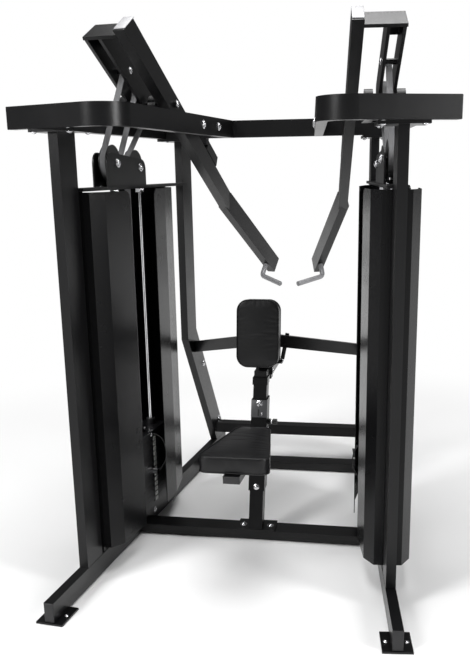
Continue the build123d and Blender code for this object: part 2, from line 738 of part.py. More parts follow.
with BuildPart() as pad_carriage:
    rear_of_pad = Vector(0, front_line_y + pad_back, pad_z) - pad_lean * (pad_thick + 0.3)
    with BuildSketch(Plane(origin=rear_of_pad, x_dir=(1, 0, 0), z_dir=pad_lean)):
        Rectangle(120, 200)
    extrude(amount=-6)
    block_front = 1100.0
    add(hall_box(-36, 36, block_front, 1150, 693, 757))
    add(hall_box(-22, 22, 1092, 1130, 757, 960))
    add(hall_box(-20, 20, 1021, 1092, 900, 940))
    add(hall_box(36, 42, 1100, 1366, 714, 746))
    mast_gap = 0.5
    add(hall_box(-mast_half - mast_gap, mast_half + mast_gap, 1080, 1160, mast_z0 - mast_gap, mast_z1 + mast_gap), mode=Mode.SUBTRACT)
    add(hall_box(30, 50, lock_back - 37, lock_back + 37, lock_z - 6, lock_z + 6), mode=Mode.SUBTRACT)
save(pad_carriage.part, "pad_carriage")

with BuildPart() as pad_lever:
    boss = Pos(51, front_line_y + lock_back, lock_z) * Rot(0, 90, 0) * Cylinder(14, 16, mode=Mode.PRIVATE)
    add(boss)
    with BuildSketch(Plane(origin=(60, front_line_y + lock_back, lock_z + 10), x_dir=(0, 1, 0), z_dir=(0.2, 0, 1))):
        RectangleRounded(9, 20, 3)
    extrude(amount=132)
    bore = Pos(45, front_line_y + lock_back, lock_z) * Rot(0, 90, 0) * Cylinder(5.08, 60, mode=Mode.PRIVATE)
    add(bore, mode=Mode.SUBTRACT)
save(pad_lever.part, "pad_lever")
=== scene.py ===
import bpy
import bmesh
import json
import math
from mathutils import Matrix, Vector


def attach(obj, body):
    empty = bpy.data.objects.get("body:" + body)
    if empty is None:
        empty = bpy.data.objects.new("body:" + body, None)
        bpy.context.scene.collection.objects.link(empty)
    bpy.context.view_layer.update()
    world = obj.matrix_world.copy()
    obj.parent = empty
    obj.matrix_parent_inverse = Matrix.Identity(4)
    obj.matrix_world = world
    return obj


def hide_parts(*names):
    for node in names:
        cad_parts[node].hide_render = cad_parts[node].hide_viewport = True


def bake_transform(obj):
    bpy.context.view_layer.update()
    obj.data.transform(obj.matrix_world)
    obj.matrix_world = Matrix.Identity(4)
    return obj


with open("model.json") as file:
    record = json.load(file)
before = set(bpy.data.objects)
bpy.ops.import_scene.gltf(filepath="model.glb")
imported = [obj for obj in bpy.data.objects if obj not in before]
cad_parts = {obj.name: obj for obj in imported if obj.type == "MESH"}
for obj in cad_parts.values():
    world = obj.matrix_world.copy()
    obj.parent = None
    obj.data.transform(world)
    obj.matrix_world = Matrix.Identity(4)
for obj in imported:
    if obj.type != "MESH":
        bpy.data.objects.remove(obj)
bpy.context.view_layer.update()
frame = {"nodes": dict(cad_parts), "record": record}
scene = bpy.context.scene
nodes = frame["nodes"]
record = frame["record"]

# Key places of the machine, in metres
FRONT_Y = -1.1686
RAIL_X = 0.6454
TOE = math.radians(5.89)
PIVOT = (1.085, 1.932)
FRONT_PULLEY = (0.741, 1.683)
REAR_PULLEY = (0.970, 1.666)
CLAMP = (0.9178, 2.0498)
ENTRY = (0.6855, 1.7223)
BELT_R = 0.068
BELT_HALF = 0.0125
BELT_HALF_THICK = 0.0025
STACK_S = 0.902
ROD_OFFSET = 0.1305
PLATE_COUNT = 13
RESTING_PLATES = 6
PLATE_PITCH = 0.025
PLATE_HALF = 0.012
STACK_BASE_Z = 0.124
BEAM_MID_Z = 1.842
GUIDE_TOP_Z = 1.590
FLANGE_UNDER_Z = 1.790
FLANGE_OVER_Z = 1.802
FOOT_TOP_Z = 0.008
POST_HALF = 0.019
RAIL_HALF = 0.020
ARM_N = -0.140
LANYARD_RADIUS = 0.0025
LANYARD_ASIDE = 0.017
SEAT_SLOPE = 0.0694
UP = Vector((0, 0, 1))
SIDES = {"left": -1, "right": 1}


def spot(s, n, z, side=1):
    # A place given along, out of and up the tower.
    x = RAIL_X - s * math.sin(TOE) + n * math.cos(TOE)
    y = FRONT_Y + s * math.cos(TOE) + n * math.sin(TOE)
    return Vector((side * x, y, z))


def heading(s, n, z, side=1):
    # A direction given along, out of and up the tower.
    x = -s * math.sin(TOE) + n * math.cos(TOE)
    y = s * math.cos(TOE) + n * math.sin(TOE)
    return Vector((side * x, y, z)).normalized()


# ---------------------------------------------------------------- materials
def material(
    name, color, rough, metal=0.0, coat=0.0, grain=0.0, grain_scale=400.0, mottling=0.0, specular=0.5
):
    # grain is a fine bump, mottling an uneven roughness.
    mat = bpy.data.materials.new(name)
    mat.use_nodes = True
    tree = mat.node_tree
    bsdf = tree.nodes["Principled BSDF"]
    bsdf.inputs["Base Color"].default_value = (*color, 1)
    bsdf.inputs["Roughness"].default_value = rough
    bsdf.inputs["Metallic"].default_value = metal
    bsdf.inputs["Coat Weight"].default_value = coat
    bsdf.inputs["Coat Roughness"].default_value = 0.25
    bsdf.inputs["Specular IOR Level"].default_value = specular
    place = tree.nodes.new("ShaderNodeTexCoord")
    if grain:
        noise = tree.nodes.new("ShaderNodeTexNoise")
        noise.inputs["Scale"].default_value = grain_scale
        noise.inputs["Detail"].default_value = 3.0
        bump = tree.nodes.new("ShaderNodeBump")
        bump.inputs["Strength"].default_value = grain
        bump.inputs["Distance"].default_value = 0.0006
        tree.links.new(place.outputs["Object"], noise.inputs["Vector"])
        tree.links.new(noise.outputs["Fac"], bump.inputs["Height"])
        tree.links.new(bump.outputs["Normal"], bsdf.inputs["Normal"])
    if mottling:
        cloud = tree.nodes.new("ShaderNodeTexNoise")
        cloud.inputs["Scale"].default_value = 9.0
        cloud.inputs["Detail"].default_value = 5.0
        span = tree.nodes.new("ShaderNodeMapRange")
        span.inputs["To Min"].default_value = max(0.02, rough - mottling)
        span.inputs["To Max"].default_value = min(1.0, rough + mottling)
        tree.links.new(place.outputs["Object"], cloud.inputs["Vector"])
        tree.links.new(cloud.outputs["Fac"], span.inputs["Value"])
        tree.links.new(span.outputs["Result"], bsdf.inputs["Roughness"])
    return mat


def vinyl_material():
    mat = material("vinyl", (0.005, 0.005, 0.0055), 0.36, specular=0.38)
    tree = mat.node_tree
    bsdf = tree.nodes["Principled BSDF"]
    place = tree.nodes.new("ShaderNodeTexCoord")
    cells = tree.nodes.new("ShaderNodeTexVoronoi")
    cells.inputs["Scale"].default_value = 420.0
    folds = tree.nodes.new("ShaderNodeTexNoise")
    folds.inputs["Scale"].default_value = 14.0
    folds.inputs["Detail"].default_value = 4.0
    fine = tree.nodes.new("ShaderNodeBump")
    fine.inputs["Strength"].default_value = 0.15
    fine.inputs["Distance"].default_value = 0.0005
    broad = tree.nodes.new("ShaderNodeBump")
    broad.inputs["Strength"].default_value = 0.08
    broad.inputs["Distance"].default_value = 0.004
    tree.links.new(place.outputs["Object"], cells.inputs["Vector"])
    tree.links.new(place.outputs["Object"], folds.inputs["Vector"])
    tree.links.new(cells.outputs["Distance"], fine.inputs["Height"])
    tree.links.new(folds.outputs["Fac"], broad.inputs["Height"])
    tree.links.new(broad.outputs["Normal"], fine.inputs["Normal"])
    tree.links.new(fine.outputs["Normal"], bsdf.inputs["Normal"])
    return mat


def belt_material():
    # Fine ribs run along the belt.
    mat = material("belt_rubber", (0.16, 0.16, 0.165), 0.55)
    tree = mat.node_tree
    bsdf = tree.nodes["Principled BSDF"]
    place = tree.nodes.new("ShaderNodeTexCoord")
    ribs = tree.nodes.new("ShaderNodeTexWave")
    ribs.bands_direction = "X"
    ribs.inputs["Scale"].default_value = 100.0
    bump = tree.nodes.new("ShaderNodeBump")
    bump.inputs["Strength"].default_value = 0.6
    bump.inputs["Distance"].default_value = 0.001
    tree.links.new(place.outputs["Object"], ribs.inputs["Vector"])
    tree.links.new(ribs.outputs["Fac"], bump.inputs["Height"])
    tree.links.new(bump.outputs["Normal"], bsdf.inputs["Normal"])
    return mat


PAINT_BLACK = (0.004, 0.004, 0.0044)
IRON_BLACK = (0.007, 0.007, 0.008)
FINISH = {
    "black_paint": material(
        "black_paint", PAINT_BLACK, 0.3, coat=0.06, grain=0.35, grain_scale=900, mottling=0.05, specular=0.3
    ),
    "cover_paint": material(
        "cover_paint", PAINT_BLACK, 0.26, coat=0.04, grain=0.25, grain_scale=900, mottling=0.04, specular=0.2
    ),
    "weight_iron": material(
        "weight_iron", IRON_BLACK, 0.4, grain=0.5, grain_scale=500, mottling=0.08, specular=0.35
    ),
    "chrome": material("chrome", (0.82, 0.82, 0.84), 0.12, metal=1.0, mottling=0.03),
    "pulley_nylon": material("pulley_nylon", (0.02, 0.02, 0.02), 0.35, grain=0.2),
    "belt_rubber": belt_material(),
    "cushion_rubber": material("cushion_rubber", (0.015, 0.015, 0.015), 0.75, grain=0.4),
    "lanyard_plastic": material("lanyard_plastic", (0.02, 0.02, 0.02), 0.4),
    "grip_grey": material("grip_grey", (0.30, 0.30, 0.31), 0.38, metal=0.3, grain=0.2, mottling=0.05),
    "vinyl": vinyl_material(),
    "knob_plastic": material("knob_plastic", (0.012, 0.012, 0.012), 0.3, coat=0.3),
}
CAP_GREY = material("cap_grey", (0.33, 0.33, 0.34), 0.4, grain=0.2)
CAP_BLACK = material("cap_black", (0.014, 0.014, 0.015), 0.5, grain=0.3)
BRIGHT = material("bright_bolt", (0.78, 0.78, 0.8), 0.22, metal=1.0, mottling=0.05)
SOCKET = material("bolt_socket", (0.02, 0.02, 0.02), 0.6)
LABEL = material("label", (0.62, 0.62, 0.6), 0.4)
MARK = material("label_mark", (0.03, 0.03, 0.03), 0.5)
BRACKET_GREY = material("bracket_grey", (0.085, 0.085, 0.09), 0.4, coat=0.2, grain=0.3)

slot_of = {entry["node"]: entry["material_slot"] for entry in record["subparts"]}
BEVELLED = {"black_paint", "cover_paint", "weight_iron"}
SHEET_EDGE = 0.0012
TUBE_EDGE = 0.0025
for name, node in nodes.items():
    node.data.materials.clear()
    node.data.materials.append(FINISH[slot_of[name]])
    if slot_of[name] in BEVELLED:
        edge = node.modifiers.new("edge", "BEVEL")
        edge.width = SHEET_EDGE if "cover" in name or "weights" in name else TUBE_EDGE
        edge.segments = 2
        edge.limit_method = "ANGLE"
        edge.angle_limit = math.radians(40)
        edge.harden_normals = False


# ---------------------------------------------------------------- helpers
def new_object(name, mesh, mat, body, smooth=True):
    obj = bpy.data.objects.new(name, mesh)
    scene.collection.objects.link(obj)
    mesh.materials.append(mat)
    if smooth:
        for face in mesh.polygons:
            face.use_smooth = True
    if body:
        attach(obj, body)
    return obj


def frame_of(origin, normal, across=None):
    normal = Vector(normal).normalized()
    across = Vector(across) if across else normal.orthogonal()
    across = (across - normal * across.dot(normal)).normalized()
    basis = Matrix((across, normal.cross(across), normal)).transposed().to_4x4()
    return Matrix.Translation(Vector(origin)) @ basis


def lathe(name, profile, place, mat, body, sides=32):
    # Turned piece: profile is (radius, height) pairs from the axis round to the axis.
    bm = bmesh.new()
    rings = []
    for radius, height in profile:
        if radius < 1e-7:
            rings.append([bm.verts.new(place @ Vector((0, 0, height)))])
            continue
        ring_verts = []
        for k in range(sides):
            turn = 2 * math.pi * k / sides
            at = Vector((radius * math.cos(turn), radius * math.sin(turn), height))
            ring_verts.append(bm.verts.new(place @ at))
        rings.append(ring_verts)
    for low, high in zip(rings, rings[1:]):
        for k in range(sides):
            near, far = low[k % len(low)], high[k % len(high)]
            next_near, next_far = low[(k + 1) % len(low)], high[(k + 1) % len(high)]
            unique = list(dict.fromkeys([near, next_near, next_far, far]))
            if len(unique) > 2:
                bm.faces.new(unique)
    bmesh.ops.recalc_face_normals(bm, faces=bm.faces)
    mesh = bpy.data.meshes.new(name)
    bm.to_mesh(mesh)
    bm.free()
    return new_object(name, mesh, mat, body)


def ring(name, inner, outer, height, place, mat, body):
    # Flat collar round a shaft or rod.
    profile = [(inner, 0), (outer, 0), (outer, height), (inner, height), (inner, 0)]
    lathe(name, profile, place, mat, body)


def bolt(name, at, normal, radius, body, sink=0.0005):
    # Button-head socket screw on a plain washer.
    washer_top = 0.002
    washer_r = radius * 1.35
    head_rise = radius * 0.55
    steps = 7
    place = frame_of(Vector(at) - Vector(normal).normalized() * sink, normal)
    washer = [(0, 0), (washer_r, 0), (washer_r, 0.0016), (radius * 1.3, washer_top), (0, washer_top)]
    lathe(name + "_washer", washer, place, BRIGHT, body)
    head = [(0, washer_top), (radius, washer_top)]
    for k in range(1, steps):
        turn = math.pi / 2 * k / steps
        across = radius * math.cos(turn) * 0.92 + radius * 0.08
        head.append((across, washer_top + head_rise * math.sin(turn)))
    top = washer_top + head_rise
    socket_floor = top - radius * 0.3
    head += [(radius * 0.36, top), (radius * 0.34, socket_floor), (0, socket_floor)]
    lathe(name, head, place, BRIGHT, body)


def nut(name, at, normal, radius, height, body):
    place = frame_of(at, normal)
    chamfer_r = radius * 0.9
    shape = [(0, 0), (chamfer_r, 0), (radius, 0.1 * height)]
    shape += [(radius, 0.9 * height), (chamfer_r, height), (0, height)]
    piece = lathe(name, shape, place, BRIGHT, body, sides=6)
    for face in piece.data.polygons:
        face.use_smooth = False


def slab(name, place, size, mat, body, bevel=0.0015):
    bm = bmesh.new()
    bmesh.ops.create_cube(bm, size=1.0)
    for vert in bm.verts:
        vert.co = Vector((vert.co.x * size[0], vert.co.y * size[1], vert.co.z * size[2]))
    offset = min(bevel, min(size) * 0.45)
    bmesh.ops.bevel(bm, geom=bm.edges[:], offset=offset, segments=3, affect="EDGES", profile=0.5)
    for vert in bm.verts:
        vert.co = place @ vert.co
    mesh = bpy.data.meshes.new(name)
    bm.to_mesh(mesh)
    bm.free()
    return new_object(name, mesh, mat, body)


def end_cap(name, place, size, body, bevel=0.003, mat=CAP_BLACK):
    slab(name, place, size, mat, body, bevel)


def ribbon(name, route, across, half_width, half_thick, mat, body=None):
    # Flat belt along a route of points, closed at both ends.
    bm = bmesh.new()
    sections = []
    for k, point in enumerate(route):
        ahead = (route[min(k + 1, len(route) - 1)] - route[max(k - 1, 0)]).normalized()
        up = ahead.cross(across).normalized()
        corners = []
        for i, j in ((-1, -1), (1, -1), (1, 1), (-1, 1)):
            corners.append(bm.verts.new(point + across * half_width * i + up * half_thick * j))
        sections.append(corners)
    for a, b in zip(sections, sections[1:]):
        for k in range(4):
            bm.faces.new((a[k], a[(k + 1) % 4], b[(k + 1) % 4], b[k]))
    bm.faces.new(sections[0][::-1])
    bm.faces.new(sections[-1])
    bmesh.ops.recalc_face_normals(bm, faces=bm.faces)
    mesh = bpy.data.meshes.new(name)
    bm.to_mesh(mesh)
    bm.free()
    return new_object(name, mesh, mat, body, smooth=False)


def closed_tube(name, points, radius, mat):
    curve = bpy.data.curves.new(name, "CURVE")
    curve.dimensions = "3D"
    curve.bevel_depth = radius
    curve.bevel_resolution = 3
    line = curve.splines.new("POLY")
    line.points.add(len(points) - 1)
    for target, point in zip(line.points, points):
        target.co = (*point, 1)
    line.use_cyclic_u = True
    obj = bpy.data.objects.new(name, curve)
    scene.collection.objects.link(obj)
    curve.materials.append(mat)
    return obj


# ---------------------------------------------------------------- belts, pins and cords
def arc(centre, start, end, steps):
    # Belt wrapped on a pulley, between two angles in degrees.
    points = []
    for k in range(steps + 1):
        turn = math.radians(start + (end - start) * k / steps)
        points.append((centre[0] + BELT_R * math.cos(turn), centre[1] + BELT_R * math.sin(turn)))
    return points


def angle_at(centre, point):
    return math.degrees(math.atan2(point[1] - centre[1], point[0] - centre[0]))


def straight(start, end, steps):
    points = []
    for k in range(steps + 1):
        s = start[0] + (end[0] - start[0]) * k / steps
        z = start[1] + (end[1] - start[1]) * k / steps
        points.append((s, z))
    return points


RISE_START, RISE_END = (0.7964, 1.6436), (1.0296, 1.9714)
FALL_START, FALL_END = (1.1275, 1.8789), (0.9275, 1.7191)
BELT_LOOP = arc(FRONT_PULLEY, angle_at(FRONT_PULLEY, ENTRY), 360 + angle_at(FRONT_PULLEY, RISE_START), 28)
BELT_LOOP += arc(PIVOT, angle_at(PIVOT, RISE_END), angle_at(PIVOT, FALL_START), 30)
BELT_LOOP += arc(REAR_PULLEY, angle_at(REAR_PULLEY, FALL_END), 180, 8)
BELT_LEVER = straight(ENTRY, CLAMP, 24)
LANYARD = [
    (-0.0553, 0.462),
    (-0.088, 0.458),
    (-0.112, 0.424),
    (-0.120, 0.376),
    (-0.114, 0.330),
    (-0.0855, 0.289),
]


def belt(name, route, side, sign, body):
    points = [spot(s, 0, z, sign) for s, z in route]
    out = heading(0, 1, 0, sign)
    rubber = FINISH["belt_rubber"]
    return ribbon(f"{name}_{side}", points, out, BELT_HALF, BELT_HALF_THICK, rubber, body)


def belts(side, sign):
    loop = belt("belt_run", BELT_LOOP, side, sign, "frame")
    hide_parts(f"belt_loop_{side}")
    lever = belt("belt_lever", BELT_LEVER, side, sign, None)
    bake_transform(lever)


def lanyard(side, sign):
    # One smooth curve from the head plate to the knob of the selector pin.
    points = [spot(STACK_S + LANYARD_ASIDE, n, z, sign) for n, z in LANYARD]
    curve = bpy.data.curves.new(f"lanyard_cord_{side}", "CURVE")
    curve.dimensions = "3D"
    curve.bevel_depth = LANYARD_RADIUS
    curve.bevel_resolution = 4
    line = curve.splines.new("NURBS")
    line.points.add(len(points) - 1)
    for target, point in zip(line.points, points):
        target.co = (*point, 1)
    line.order_u = 3
    line.use_endpoint_u = True
    line.resolution_u = 16
    cord = bpy.data.objects.new(f"lanyard_cord_{side}", curve)
    scene.collection.objects.link(cord)
    curve.materials.append(FINISH["lanyard_plastic"])
    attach(cord, f"stack_{side}")
    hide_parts(f"lanyard_{side}")
    bpy.context.view_layer.update()


for side, sign in SIDES.items():
    belts(side, sign)
    lanyard(side, sign)


# ---------------------------------------------------------------- fasteners, caps and labels
BEAM_CAP = (0.0385, 0.0785, 0.004)


def tube_caps(side, sign):
    # Plastic end caps in the floor rail, overhead beam and top rail
    fore = heading(1, 0, 0, sign)
    out = heading(0, 1, 0, sign)
    for s, face in ((-0.0015, -1), (2.1215, 1)):
        place = frame_of(spot(s, 0, 0.048, sign), fore, out)
        end_cap(f"rail_cap_{side}_{face}", place, (0.039, 0.079, 0.005), "frame", 0.004)
    for s in (0.334, 1.671):
        place = frame_of(spot(s, 0.068, BEAM_MID_Z, sign), fore, out)
        end_cap(f"beam_cap_{side}_{s}", place, BEAM_CAP, "frame")
    tip = Vector((sign * 0.7963, FRONT_Y + 0.3412, BEAM_MID_Z))
    tip_dir = Vector((sign * 0.9301, 0.3673, 0))
    end_cap(f"top_rail_cap_{side}", frame_of(tip, tip_dir, UP), (0.079, 0.039, 0.006), "frame", 0.004)


def arm_caps(side, sign):
    # A pale cap on the cut top end, a dark one at the grip end
    low = Vector((0.591, 2.168))
    high = Vector((0.685, 2.223))
    mid = (low + high) / 2
    slope = (high - low).normalized()
    cap_up = heading(-slope.y, 0, slope.x, sign)
    cap_along = heading(slope.x, 0, slope.y, sign)
    place = frame_of(spot(mid.x, ARM_N, mid.y, sign) + cap_up * 0.001, cap_up, cap_along)
    size = ((high - low).length, 0.0455, 0.005)
    end_cap(f"arm_cap_{side}", place, size, f"arm_{side}", mat=CAP_GREY)
    knee = spot(1.854, ARM_N, 1.487, sign)
    lower_length = 0.656
    toe = math.radians(20.8)
    drop = math.radians(37.4)
    down = Vector((-sign * math.sin(toe) * math.cos(drop), math.cos(toe) * math.cos(drop), -math.sin(drop)))
    across = Vector((sign * math.cos(toe), math.sin(toe), 0))
    place = frame_of(knee + down * lower_length, down, across)
    end_cap(f"arm_foot_cap_{side}", place, (0.0455, 0.0925, 0.005), f"arm_{side}")


def pulley_fittings(side, sign):
    # Guide-rod nuts and bushes, pulley axle heads and bracket bolts
    out = heading(0, 1, 0, sign)
    for rod in (-ROD_OFFSET, ROD_OFFSET):
        nut(f"rod_nut_{side}_{rod}", spot(STACK_S + rod, 0, GUIDE_TOP_Z, sign), UP, 0.019, 0.014, "frame")
        nut(f"rod_jam_{side}_{rod}", spot(STACK_S + rod, 0, 1.558, sign), UP, 0.021, 0.019, "frame")
        place = frame_of(spot(STACK_S + rod, 0, 0.500, sign), UP)
        name = f"bush_cap_{side}_{rod}"
        ring(name, 0.0121, 0.0215, 0.003, place, CAP_BLACK, f"stack_{side}")
    for s, z in (FRONT_PULLEY, REAR_PULLEY):
        for face in (-1, 1):
            bolt(f"axle_{side}_{s}_{face}", spot(s, face * 0.038, z, sign), out * face, 0.013, "frame")
            place = frame_of(spot(s, face * 0.033, z, sign), out * face)
            ring(f"axle_ring_{side}_{s}_{face}", 0.0081, 0.017, 0.004, place, BRIGHT, "frame")
    for s in (0.68, 1.0):
        for n in (-0.018, 0.018):
            bolt(f"bracket_bolt_{side}_{s}_{n}", spot(s, n, GUIDE_TOP_Z, sign), UP, 0.006, "frame")


def frame_bolts(side, sign):
    # Top rail, flange plates, posts, floor rail and feet
    out = heading(0, 1, 0, sign)
    for s in (1.090, 1.303):
        bolt(f"rail_bolt_{side}_{s}", spot(s, -0.292, 1.845, sign), -out, 0.014, "frame")
    front_corner = (0.28, -0.07)
    for s, n in (front_corner, (0.28, 0.07), (0.42, -0.07)):
        bolt(f"flange_bolt_{side}_{s}_{n}", spot(s, n, FLANGE_UNDER_Z, sign), -UP, 0.009, "frame")
        if (s, n) == front_corner:
            bolt(f"flange_top_{side}_{s}_{n}", spot(s, n, FLANGE_OVER_Z, sign), UP, 0.009, "frame")
    for s in (1.495, 1.660):
        for n in (-0.045, 0.045):
            bolt(f"rear_flange_{side}_{s}_{n}", spot(s, n, FLANGE_UNDER_Z, sign), -UP, 0.009, "frame")
    for s, z in ((1.761, 0.604), (2.000, 0.210)):
        bolt(f"post_bolt_{side}_{z}", spot(s, -POST_HALF, z, sign), -out, 0.013, "frame")
        bolt(f"post_bolt_out_{side}_{z}", spot(s, POST_HALF, z, sign), out, 0.013, "frame")
    for s in (0.985, 1.700):
        bolt(f"rail_in_bolt_{side}_{s}", spot(s, -RAIL_HALF, 0.050, sign), -out, 0.011, "frame")
    for s in (0.82, 0.88, 1.735, 1.79):
        bolt(f"cross_bolt_{side}_{s}", spot(s, RAIL_HALF, 0.028, sign), out, 0.009, "frame")
    for s in (0.057, 2.063):
        for n in (-0.038, 0.038):
            bolt(f"foot_bolt_{side}_{s}_{n}", spot(s, n, FOOT_TOP_Z, sign), UP, 0.007, "frame")


def arm_fittings(side, sign):
    # Pillow-block bolts, shaft collar and ends, belt clamp
    out = heading(0, 1, 0, sign)
    arm = f"arm_{side}"
    pivot_s, pivot_z = PIVOT
    for n in (-0.068, 0.068):
        for ds in (-0.055, 0.055):
            bolt(f"pillow_{side}_{n}_{ds}", spot(pivot_s + ds, n, 1.902, sign), UP, 0.009, "frame")
    place = frame_of(spot(pivot_s, -0.110, pivot_z, sign), out)
    ring(f"shaft_collar_in_{side}", 0.0151, 0.024, 0.009, place, BRIGHT, arm)
    bolt(f"shaft_end_{side}", spot(pivot_s, 0.095, pivot_z, sign), out, 0.012, arm)
    bolt(f"shaft_in_{side}", spot(pivot_s, -0.175, pivot_z, sign), -out, 0.012, arm)
    for face, n in ((-1, -0.031), (1, 0.041)):
        bolt(f"clamp_bolt_{side}_{face}", spot(0.925, n, 2.060, sign), out * face, 0.010, arm)


def stack_fittings(side, sign):
    # Head-plate adjuster, and plain bars in place of load numbers
    fore = heading(1, 0, 0, sign)
    out = heading(0, 1, 0, sign)
    stack = f"stack_{side}"
    nut(f"head_nut_{side}", spot(STACK_S, -0.0205, 0.490, sign), -out, 0.010, 0.008, stack)
    bolt(f"head_bolt_{side}", spot(STACK_S, -0.055, 0.462, sign), -out, 0.007, stack)
    tag_s = STACK_S + 0.032
    for index in range(PLATE_COUNT):
        body = "frame" if index < RESTING_PLATES else stack
        z = STACK_BASE_Z + index * PLATE_PITCH + PLATE_HALF
        place = frame_of(spot(tag_s, -0.0554, z, sign), -out, fore)
        slab(f"tag_{side}_{index}", place, (0.030, 0.017, 0.0008), LABEL, body, 0.0003)
        place = frame_of(spot(tag_s, -0.0559, z, sign), -out, fore)
        bar = (0.004 + 0.0016 * index, 0.006, 0.0006)
        slab(f"tag_mark_{side}_{index}", place, bar, MARK, body, 0.0002)


for side, sign in SIDES.items():
    tube_caps(side, sign)
    arm_caps(side, sign)
    pulley_fittings(side, sign)
    frame_bolts(side, sign)
    arm_fittings(side, sign)
    stack_fittings(side, sign)

for sign in (-1, 1):
    place = frame_of((sign * 0.5355, FRONT_Y + 1.5, BEAM_MID_Z), (sign, 0, 0), (0, 1, 0))
    end_cap(f"crossbeam_cap_{sign}", place, BEAM_CAP, "frame")
    bolt(f"seat_base_{sign}", (sign * 0.063, FRONT_Y + 0.858, 0.056), UP, 0.012, "frame")


def lean_back(z):
    # Front face of the leaning seat post at a height.
    return FRONT_Y + 0.817 + 0.30 * (z - 0.1)


LEAN_OUT = Vector((0, -0.9578, 0.2873))
ACROSS = (1, 0, 0)


def lean_spot(x, z, proud=0.0):
    return Vector((x, lean_back(z), z)) + LEAN_OUT * proud


def seat_details():
    # Grey plate with its bolts on the sleeve, sleeve bolts and the cap of the under-seat tube
    place = frame_of(lean_spot(0, 0.585, 0.001), LEAN_OUT, ACROSS)
    slab("post_plate", place, (0.074, 0.080, 0.003), BRACKET_GREY, "seat", 0.0012)
    bolt("post_plate_bolt", lean_spot(0.002, 0.609, 0.0025), LEAN_OUT, 0.011, "seat")
    bolt("post_plate_small", lean_spot(0.013, 0.562, 0.0025), LEAN_OUT, 0.004, "seat")
    place = frame_of(lean_spot(-0.002, 0.568, 0.0026), LEAN_OUT, ACROSS)
    slab("post_plate_slot", place, (0.008, 0.030, 0.0008), SOCKET, "seat", 0.0003)
    bolt("seat_sleeve_bolt", lean_spot(0, 0.243, 0.0), LEAN_OUT, 0.010, "seat")
    place = frame_of((0, FRONT_Y + 0.3005, 0.493), (0, -1, 0), ACROSS)
    end_cap("seat_tube_cap", place, (0.065, 0.029, 0.004), "seat")


def pad_details():
    # Mast cap, lock-bar bolts, lever hub and the seat pin's nut
    lock_z = 0.73
    pin_z = 0.52
    side_bolt_z = 0.49
    post_middle = 0.039
    place = frame_of((0, FRONT_Y + 1.3415, 0.725), (0, 1, 0), ACROSS)
    end_cap("mast_cap", place, (0.057, 0.049, 0.004), "frame")
    for y in (1.118, 1.135):
        bolt(f"lock_bar_bolt_{y}", (0.042, FRONT_Y + y, lock_z), ACROSS, 0.006, "chest_rest")
    bolt("lever_hub", (0.0595, FRONT_Y + 1.316, lock_z), ACROSS, 0.009, "pad_lever")
    nut("seat_pin_nut", (0.052, lean_back(pin_z) + post_middle, pin_z), ACROSS, 0.011, 0.005, "seat")
    side_bolt = (0.0365, lean_back(side_bolt_z) + post_middle, side_bolt_z)
    bolt("seat_side_bolt", side_bolt, ACROSS, 0.008, "seat")


seat_details()
pad_details()


# ---------------------------------------------------------------- cushions
def rounded(x, y, half_w, half_l, radius):
    # Draws a square grid's corners in to a rounded outline.
    dx, dy = abs(x) - (half_w - radius), abs(y) - (half_l - radius)
    if dx > 0 and dy > 0:
        reach, long = max(dx, dy), math.hypot(dx, dy)
        dx, dy = dx * reach / long, dy * reach / long
        x = math.copysign(half_w - radius + dx, x)
        y = math.copysign(half_l - radius + dy, y)
    return x, y


def cushion_shell(name, width, length, thick, radius, taper):
    # Flat boxed form, with the vertex numbers of its two seams and of what the cloth holds still.
    half_w, half_l = width / 2, length / 2
    across, tall = 30, 8
    down = max(across, round(across * length / width))
    bm = bmesh.new()
    grid = {}

    def vert(i, j, k):
        if (i, j, k) not in grid:
            x, y = rounded(-half_w + width * i / across, -half_l + length * j / down, half_w, half_l, radius)
            x *= 1 - taper * (y + half_l) / length
            grid[i, j, k] = bm.verts.new((x, y, thick * k / tall))
        return grid[i, j, k]

    for k in (0, tall):
        for i in range(across):
            for j in range(down):
                bm.faces.new((vert(i, j, k), vert(i + 1, j, k), vert(i + 1, j + 1, k), vert(i, j + 1, k)))
    rim = [(i, 0) for i in range(across)] + [(across, j) for j in range(down)]
    rim += [(i, down) for i in range(across, 0, -1)] + [(0, j) for j in range(down, 0, -1)]
    for (i0, j0), (i1, j1) in zip(rim, rim[1:] + rim[:1]):
        for k in range(tall):
            bm.faces.new((vert(i0, j0, k), vert(i1, j1, k), vert(i1, j1, k + 1), vert(i0, j0, k + 1)))
    bmesh.ops.recalc_face_normals(bm, faces=bm.faces)
    bm.verts.index_update()
    seams = [[grid[i, j, k].index for i, j in rim] for k in (0, tall)]
    held = [v.index for key, v in grid.items() if key[2] == 0] + seams[1]
    mesh = bpy.data.meshes.new(name)
    bm.to_mesh(mesh)
    bm.free()
    return mesh, seams, held


def inflate(obj, held):
    # Cloth under pressure, held at the base and along the top seam.
    last_frame = 40
    group = obj.vertex_groups.new(name="held")
    group.add(held, 1.0, "ADD")
    cloth = obj.modifiers.new("cloth", "CLOTH")
    cloth.settings.quality = 6
    cloth.settings.mass = 0.4
    cloth.settings.tension_stiffness = 60
    cloth.settings.compression_stiffness = 60
    cloth.settings.shear_stiffness = 30
    cloth.settings.bending_stiffness = 2.0
    cloth.settings.vertex_group_mass = "held"
    cloth.settings.use_pressure = True
    cloth.settings.uniform_pressure_force = 11.0
    cloth.settings.shrink_min = -0.004
    cloth.settings.effector_weights.gravity = 0.0
    cloth.point_cache.frame_start = 1
    cloth.point_cache.frame_end = last_frame
    scene.frame_start, scene.frame_end = 1, last_frame
    for step in range(1, last_frame + 1):
        scene.frame_set(step)
    graph = bpy.context.evaluated_depsgraph_get()
    settled = bpy.data.meshes.new_from_object(obj.evaluated_get(graph))
    obj.modifiers.clear()
    obj.data = settled
    scene.frame_set(1)


